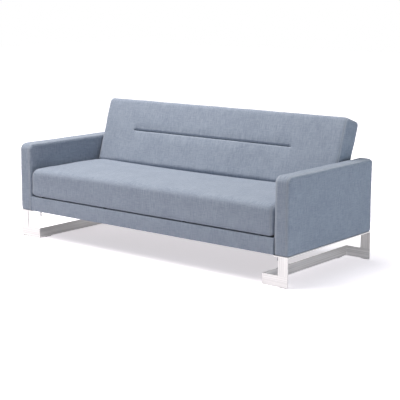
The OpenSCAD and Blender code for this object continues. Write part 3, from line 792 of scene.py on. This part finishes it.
# Bench pad that overhangs its frame at the front and takes the frame in from below
def makeSeat():
    low, high = [np.array(corner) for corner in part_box("seat_pad")]
    halfX, top = high[0], high[2] - seat["drop"]
    hingeRadius, lowRearRadius = seat["rearRadii"]
    crease = pivot[1] - seat["notch"]
    corners = [
        blockCorner(low[1], low[2] - seat["hang"], seat["lowRadius"], end=seat["lowEnd"]),
        blockCorner(low[1], top, seat["noseRadius"], ball=seat["noseBall"], end=seat["noseEnd"],
                    rising=-1, plan=seat["nosePlan"]),
        blockCorner(crease, top, seat["creaseRadius"], end=seat["creaseEnd"], rising=-1),
        blockCorner(high[1], pivot[2], hingeRadius),
        blockCorner(high[1], low[2], lowRearRadius),
    ]
    edge = seat["frameEdge"]
    setback = low[1] + seat["frameSetback"]
    frameEnds = [ballPoints((side * (halfX - edge), setback, low[2] + edge), edge) for side in (-1, 1)]
    piece = softBlock("seat_cushion", corners, halfX, frameEnds)
    border = seat["border"]
    under = boxBetween((border - halfX, low[1] + border, low[2] - seat["recess"] / 2),
                       (halfX - border, high[1] - border, low[2] + seat["recess"]))
    cutAway(piece, [under] + hingePockets(pivot[1:], halfX))
    remesh(piece, seat["grid"])
    place, facing = pointsOf(piece), normalsOf(piece)
    middling = 1 - (place[:, 0] / halfX) ** 2
    deep = (place[:, 1] - low[1]) / (crease - low[1])
    plump = (1 - np.clip(np.abs(2 * deep - 1), 0, 1) ** 2.5) * (1 - (place[:, 0] / halfX) ** 8)
    rearward = np.clip(deep, 0, 1) ** 3
    crown = seat["topPuff"] + seat["crown"] * middling * (1 - rearward) + seat["depthCrown"] * plump
    inboard = fade(np.abs(place[:, 0]), halfX, halfX - seat["liftInset"])
    crown = crown + seat["rearLift"] * (1 - middling) * rearward * inboard
    upward = np.clip(facing[:, 2], 0, 1) * crown
    forward = np.clip(-facing[:, 1], 0, 1) * seat["frontPuff"]
    start, end = [pivot[1] - ahead for ahead in seat["endFade"]]
    endways = np.abs(facing[:, 0]) * seat["endPuff"] * fade(place[:, 1], start, end)
    inRecess = place[:, 2] < low[2] + seat["recess"] + seat["recessMargin"]
    inRecess &= np.abs(place[:, 0]) < halfX - seat["sideLip"]
    inRecess &= place[:, 1] > low[1] + seat["frontLip"]
    loose = fade(facing[:, 1], 0.35, 0.1) * fade(facing[:, 2], -0.6, -0.2)
    loose *= ~inRecess & ~besideHinge(place, pivot[1:])
    puff(piece, loose * (upward + forward + endways))
    settle(piece)
    facing = normalsOf(piece)
    shown = fade(facing[:, 1], 0.3, 0.0) * fade(facing[:, 2], -0.3, 0.1)
    workCloth(piece, 0, halfX, seat, shown)
    return piece, sewnCloth("seatCloth", 0.0, halfX - seat["seamInset"])


seatPiece, seatCloth = makeSeat()
dress(seatPiece, seatCloth, "seat")
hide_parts("seat_pad")

back = {
    "plan": (0.034, 0.030),
    "topRadius": 0.019,
    "topEnd": 0.029,
    "rearRadius": 0.012,
    "rearEnd": 0.022,
    "creaseRadius": 0.006,
    "lowRadius": 0.010,
    "hingeRadius": 0.003,
    "rearInset": 0.0015,
    "grid": 0.0075,
    "frontPuff": 0.004,
    "crown": 0.005,
    "topPuff": 0.002,
    "endPuff": 0.005,
    "endFade": (0.03, 0.20),
    "shoulderPuff": 0.005,
    "shoulderFade": (0.26, 0.34),
    "seamInset": 0.012,
    "seamDraw": 0.0012,
    "seamWidth": 0.006,
    "creases": 0.0007,
    "folds": (((0.6, 1, 1), 0.15, 31, 1), ((2, 1, 0.7), 0.08, 32, 0.4)),
}
# The back's front face starts at the line where it leaves the seat's plane
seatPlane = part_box("seat_pad")[1].z - pivot[2]
creaseHeight = seatPlane * (1 - math.sin(lean)) / math.cos(lean)

# Sewn channel across the back, at a height above the crease. Line, lineShare and shadow are the
# look of its sewn line.
channel = {
    "height": 0.221,
    "half": 0.623,
    "middle": -0.030,
    "runIn": (0.012, 0.02),
    "dip": 0.0045,
    "dipWidth": 0.034,
    "groove": 0.011,
    "grooveWidth": 0.0062,
    "puckers": 0.0012,
    "puckerPitch": 0.036,
    "puckerReach": (0.026, 0.006),
    "dimple": 0.0015,
    "dimpleSize": (0.03, 0.022),
    "snap": 0.002,
    "wander": 2,
    "wanderLength": 0.25,
    "line": (0.0010, 0.0032),
    "lineShare": 0.8,
    "shadow": (0.04, 0.06, 0.09, 1),
}


# From the back's own frame (along, thickness, height) to its leaning place
def leaned(points):
    return pivot + points @ np.array([(1, 0, 0), backOut, backUp])


def makeBack():
    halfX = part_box("back_pad")[1].x
    front, rear = cadSpan("back_pad", backOut)
    low, top = cadSpan("back_pad", backUp)
    rear -= back["rearInset"]
    corners = [
        blockCorner(0, low, back["hingeRadius"]),
        blockCorner(front, low + creaseHeight, back["creaseRadius"], plan=back["plan"]),
        blockCorner(front, top, back["topRadius"], end=back["topEnd"], rising=-1, plan=back["plan"]),
        blockCorner(rear, top, back["rearRadius"], end=back["rearEnd"], rising=-1),
        blockCorner(rear, low, back["lowRadius"]),
    ]
    piece = softBlock("back_cushion", corners, halfX)
    cutAway(piece, hingePockets((0, 0), halfX))
    remesh(piece, back["grid"])
    place, facing = pointsOf(piece), normalsOf(piece)
    middling = 1 - (place[:, 0] / halfX) ** 2
    forward = np.clip(-facing[:, 1], 0, 1) * (back["frontPuff"] + back["crown"] * middling)
    endways = back["endPuff"] * fade(place[:, 2], *back["endFade"])
    endways += back["shoulderPuff"] * fade(place[:, 2], *back["shoulderFade"])
    edges = np.abs(facing[:, 0]) * endways + np.clip(facing[:, 2], 0, 1) * back["topPuff"]
    loose = fade(facing[:, 1], 0.6, 0.2) * fade(facing[:, 2], -0.35, -0.1)
    loose *= ~besideHinge(place, (0, 0))
    puff(piece, loose * (forward + edges))
    settle(piece)
    sewChannel(piece, front)
    facing = normalsOf(piece)
    shown = fade(facing[:, 1], 0.4, 0.1) * fade(facing[:, 2], -0.3, 0.0)
    workCloth(piece, 0, halfX, back, shown)
    setPoints(piece, leaned(pointsOf(piece)))
    return piece, channelCloth(halfX)


# Long stitched channel: a wide dip, a sharp groove in it and small puckers along both
def sewChannel(piece, front):
    place, facing = pointsOf(piece), normalsOf(piece)
    across = place[:, 2] - creaseHeight - channel["height"]
    faced = (facing[:, 1] < -0.3) & (place[:, 1] < front + 0.03)
    pastEnd = np.abs(place[:, 0] - channel["middle"]) - channel["half"]
    beyond, before = channel["runIn"]
    run = fade(pastEnd, beyond, -before) * faced
    snapped = (np.abs(across) < channel["snap"]) & (run > 0)  # a row of points lies along the groove
    place[snapped, 2] -= across[snapped]
    across[snapped] = 0
    dip = channel["dip"] * bell(across, channel["dipWidth"])
    groove = channel["groove"] * bell(across, channel["grooveWidth"])
    wander = channel["wander"] * ripple(place * (1, 0, 0), channel["wanderLength"], 41)
    wave = np.sin(2 * math.pi * place[:, 0] / channel["puckerPitch"] + wander)
    outer, inner = channel["puckerReach"]
    puckers = channel["puckers"] * wave * bell(across, outer) * (1 - bell(across, inner))
    width, height = channel["dimpleSize"]
    dimple = channel["dimple"] * bell(np.hypot(pastEnd / width, across / height), 1) * faced
    place[:, 1] += run * (dip + groove + puckers) + dimple
    setPoints(piece, place)


def channelCloth(halfX):
    material, tree, shader, weave = clothShader("backCloth")
    spot, xyz, _, _ = placeNodes(tree)
    color, seamDark, height = seamed(tree, weave, xyz, 0.0, halfX - back["seamInset"])
    rise = addNode(tree, "VectorMath", spot, tuple(backUp), operation="DOT_PRODUCT").outputs[1]
    level = float(pivot @ backUp) + creaseHeight + channel["height"]
    deep = addNode(tree, "VectorMath", spot, tuple(backOut), operation="DOT_PRODUCT").outputs[1]
    forward = calc(tree, "LESS_THAN", deep, float(pivot @ backOut))
    gap = calc(tree, "ABSOLUTE", calc(tree, "SUBTRACT", rise, level))
    fromMiddle = calc(tree, "ABSOLUTE", calc(tree, "SUBTRACT", xyz[0], channel["middle"]))
    inRun = calc(tree, "MULTIPLY", calc(tree, "LESS_THAN", fromMiddle, channel["half"]), forward)
    line = calc(tree, "MULTIPLY", rangeOf(tree, gap, *channel["line"], 1, 0), inRun)
    dark = calc(tree, "MAXIMUM", seamDark, calc(tree, "MULTIPLY", line, channel["lineShare"]))
    color = mixColor(tree, dark, color, channel["shadow"])
    finish(tree, shader, color, weave.outputs["Roughness"], height)
    return material


backPiece, backCloth = makeBack()
dress(backPiece, backCloth, "back")
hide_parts("back_pad")

# Cloth-covered board let into the rear of the back
panel = {
    "side": 0.012,
    "lowEdge": 0.020,
    "topEdge": 0.022,
    "rounding": 0.005,
    "depth": 0.006,
    "inset": 0.0008,
    "pillow": 0.0006,
    "columns": 260,
    "rows": 64,
}


def makePanel():
    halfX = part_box("back_pad")[1].x - panel["side"]
    low, top = cadSpan("back_pad", backUp)
    low, top = low + panel["lowEdge"], top - panel["topEdge"]
    face = cadSpan("back_pad", backOut)[1] - panel["inset"]
    s = np.sin(np.linspace(-1, 1, panel["columns"]) * math.pi / 2)
    t = np.sin(np.linspace(-1, 1, panel["rows"]) * math.pi / 2)
    across, height = np.meshgrid(s * halfX, (low + top) / 2 + t * (top - low) / 2)
    edge = np.minimum(halfX - np.abs(across), np.minimum(height - low, top - height))
    near = np.clip(1 - edge / panel["rounding"], 0, 1)
    depth = face - panel["depth"] * (1 - np.sqrt(1 - near ** 2))
    points = np.stack([across, depth, height], -1).reshape(-1, 3)
    points[:, 1] += panel["pillow"] * (ripple(points * (0.5, 1, 1), 0.18, 51) - 1) * (1 - near.ravel())
    columns = panel["columns"]
    faces = []
    for r in range(panel["rows"] - 1):
        for c in range(columns - 1):
            i = r * columns + c
            faces.append((i, i + columns, i + columns + 1, i + 1))
    piece = newObject("back_rear_panel", leaned(points), faces)
    smoothShade(piece)
    return piece


panelPiece = makePanel()
dress(panelPiece, plainCloth("panelCloth"), "back")
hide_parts("back_panel")

# Tuck is how far each end of a wrap runs on beside the arm
rail = {
    "rounding": 0.006,
    "tuck": 0.0006,
    "pillow": 0.0014,
    "steps": 380,
    "arcSteps": 6,
    "faceSteps": 14,
    "creases": 0.0004,
}


# Outline of the wrap round its board, as (out from the board's inner face, height)
def wrapOutline(depth, low, high, inner):
    r = rail["rounding"]
    outline = [(0, high)]
    for t in np.linspace(0, math.pi / 2, rail["arcSteps"]):
        outline.append((depth - r + r * math.sin(t), high - r + r * math.cos(t)))
    outline += [(depth, z) for z in np.linspace(high - r, low + r, rail["faceSteps"])[1:-1]]
    for t in np.linspace(math.pi / 2, math.pi, rail["arcSteps"]):
        outline.append((depth - r + r * math.sin(t), low + r + r * math.cos(t)))
    boardDepth, boardHigh, boardLow = inner
    outline += [(0, low), (0, boardLow), (boardDepth, boardLow), (boardDepth, boardHigh), (0, boardHigh)]
    return np.array(outline)


def makeWrap(node, board, name, rearward):
    low, high = [np.array(corner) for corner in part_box(node)]
    boardLow, boardHigh = [np.array(corner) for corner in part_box(board)]
    depth = high[1] - low[1]
    boardDepth = boardHigh[1] - boardLow[1]
    outline = wrapOutline(depth, low[2], high[2], (boardDepth, boardHigh[2], boardLow[2]))
    xs = np.linspace(low[0] - rail["tuck"], high[0] + rail["tuck"], rail["steps"])
    count = len(outline)
    points = np.array([(x, out, z) for x in xs for out, z in outline])
    faced = fade(points[:, 1], depth - rail["rounding"] / 2, depth)
    pillow = 1 - ((points[:, 2] - low[2]) / (high[2] - low[2]) * 2 - 1) ** 2
    points[:, 1] += faced * (rail["pillow"] * pillow + rail["creases"] * (ripple(points, 0.11, 61) - 0.5))
    points[:, 1] = low[1] + points[:, 1] if rearward else high[1] - points[:, 1]
    faces = []
    for i in range(len(xs) - 1):
        for k in range(count):
            a, b = i * count + k, i * count + (k + 1) % count
            quad = (a, b, b + count, a + count)
            faces.append(quad if rearward else quad[::-1])
    boardCorners = 4  # the outline's last points go round the board, and the end faces leave them out
    first = tuple(range(count - boardCorners))
    last = tuple(range(len(points) - count, len(points) - boardCorners))
    faces += [first[::-1], last] if rearward else [first, last[::-1]]
    piece = newObject(name, points, faces)
    smoothShade(piece)
    sharp = piece.modifiers.new("edges", "EDGE_SPLIT")
    sharp.split_angle = math.radians(50)
    bake(piece)
    return piece


for node, board, name, rearward in (("front_rail_cover", "front_rail", "front_rail_wrap", False),
                                    ("rear_rail_cover", "rear_rail", "rear_rail_wrap", True)):
    wrap = makeWrap(node, board, name, rearward)
    dress(wrap, railCloth(name + "_cloth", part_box(node)[1].x), "base")
    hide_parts(node)

# Nodes that a piece stands for are hidden by now; the others keep their shape
slotOf = {part["node"]: part["material_slot"] for part in frame["record"]["subparts"]}
for name, node in frame["nodes"].items():
    if node.hide_render:
        continue
    node.data.materials.clear()
    node.data.materials.append(slotMaterials[slotOf[name]])

legEdge = {"weld": 0.00005, "ease": 0.0007, "steps": 2, "sharp": 40}
for side in ("left", "right"):
    leg = frame["nodes"][side + "_sled_leg"]
    join = leg.modifiers.new("join", "WELD")
    join.merge_threshold = legEdge["weld"]
    ease = leg.modifiers.new("ease", "BEVEL")
    ease.width = legEdge["ease"]
    ease.segments = legEdge["steps"]
    ease.limit_method = "ANGLE"
    ease.angle_limit = math.radians(legEdge["sharp"])
print("dressed the frame parts")

ground = {
    "half": 20,
    "tone": (0.84, 0.81, 0.85, 1),
    "patch": (0.80, 0.80, 0.82, 1),
    "patchShare": 0.04,
    "glow": (1, 0.96, 1, 1),
    "lift": 0.58,
    "mirrorLift": 0.18,
    "liftFrom": 1.7,
    "liftTo": 3.2,
}
fillLight = {"strength": 0.27, "tone": (0.86, 0.975, 1.0, 1)}
lamps = {
    "topLamp": {
        "place": (-1.35, -1.1, 5.2),
        "size": 3.8,
        "power": 370.0,
        "tone": (1.0, 0.96, 0.925),
        "aim": (0, 0, 0.4),
    },
    "sideLamp": {
        "place": (3.4, 0.1, 0.32),
        "size": 0.6,
        "power": 15.0,
        "tone": (0.80, 0.92, 1.0),
        "aim": (1.04, 0, 0.4),
    },
    "rearLamp": {
        "place": (-1.2, 2.2, 0.35),
        "size": 1.0,
        "power": 28.0,
        "tone": (1, 1, 1),
        "aim": (0, 0, 0.05),
    },
}
corners = [(x * ground["half"], y * ground["half"], 0) for x, y in ((-1, -1), (1, -1), (1, 1), (-1, 1))]
floor = newObject("floor", corners, [(0, 1, 2, 3)])


# How strongly a surface glows for the camera, in mirrors and through glass; it adds no light
def seenDirectly(tree, direct=1.0, mirrored=1.0):
    path = addNode(tree, "LightPath").outputs
    mirror = calc(tree, "MAXIMUM", path["Is Glossy Ray"], path["Is Transmission Ray"])
    return calc(tree, "MULTIPLY_ADD", path["Is Camera Ray"], direct, calc(tree, "MULTIPLY", mirror, mirrored))


# Pale matt floor that brightens to white away from the sofa
def floorMaterial():
    material = bpy.data.materials.new("paleFloor")
    material.use_nodes = True
    tree = material.node_tree
    tree.nodes.clear()
    place = addNode(tree, "TexCoord").outputs["Object"]
    patches = calc(tree, "MULTIPLY", noiseAt(tree, place, (1.5, 1.5, 1.5), 2), ground["patchShare"])
    matt = addNode(tree, "BsdfDiffuse", mixColor(tree, patches, ground["tone"], ground["patch"]))
    away = addNode(tree, "VectorMath", place, operation="LENGTH").outputs[1]
    near = seenDirectly(tree, ground["lift"], ground["mirrorLift"])
    lift = rangeOf(tree, away, ground["liftFrom"], ground["liftTo"], near, seenDirectly(tree))
    glow = addNode(tree, "Emission", ground["glow"], lift)
    both = addNode(tree, "AddShader", matt.outputs[0], glow.outputs[0])
    out = tree.nodes.new("ShaderNodeOutputMaterial")
    wire(tree, both.outputs[0], out.inputs[0])
    return material


# White where it is seen, and a dim cool fill for the light it gives
def paintWorld():
    world = bpy.data.worlds.new("paleStudio")
    scene.world = world
    world.use_nodes = True
    tree = world.node_tree
    sky = tree.nodes["Background"]
    seen = seenDirectly(tree)
    strength = fillLight["strength"]
    wire(tree, mixColor(tree, seen, fillLight["tone"], (1, 1, 1, 1)), sky.inputs["Color"])
    wire(tree, calc(tree, "MULTIPLY_ADD", seen, 1 - strength, strength), sky.inputs["Strength"])


def softLamp(name, place, size, power, tone, aim):
    lamp = bpy.data.lights.new(name, "AREA")
    lamp.energy = power
    lamp.color = tone
    lamp.size = size
    holder = bpy.data.objects.new(name, lamp)
    scene.collection.objects.link(holder)
    x, y, z = np.array(aim) - place
    holder.location = place
    holder.rotation_euler = (math.pi / 2 + math.atan2(z, math.hypot(x, y)), 0, math.atan2(-x, y))


floor.data.materials.append(floorMaterial())
paintWorld()
for name, lamp in lamps.items():
    softLamp(name, **lamp)

view = {
    "place": (4.1974, -5.0015, 1.5353),
    "turn": 39.351,
    "down": 10.792,
    "lens": 97.81,
    "sensor": 36,
    "reach": 100,
}
eye = bpy.data.objects.new("camera", bpy.data.cameras.new("camera"))
scene.collection.objects.link(eye)
eye.data.sensor_width = view["sensor"]
eye.data.lens = view["lens"]
eye.data.clip_end = view["reach"]
eye.location = view["place"]
eye.rotation_euler = (math.radians(90 - view["down"]), 0, math.radians(view["turn"]))
scene.camera = eye
scene.view_settings.view_transform = "Standard"
print("set the floor, lights and camera")
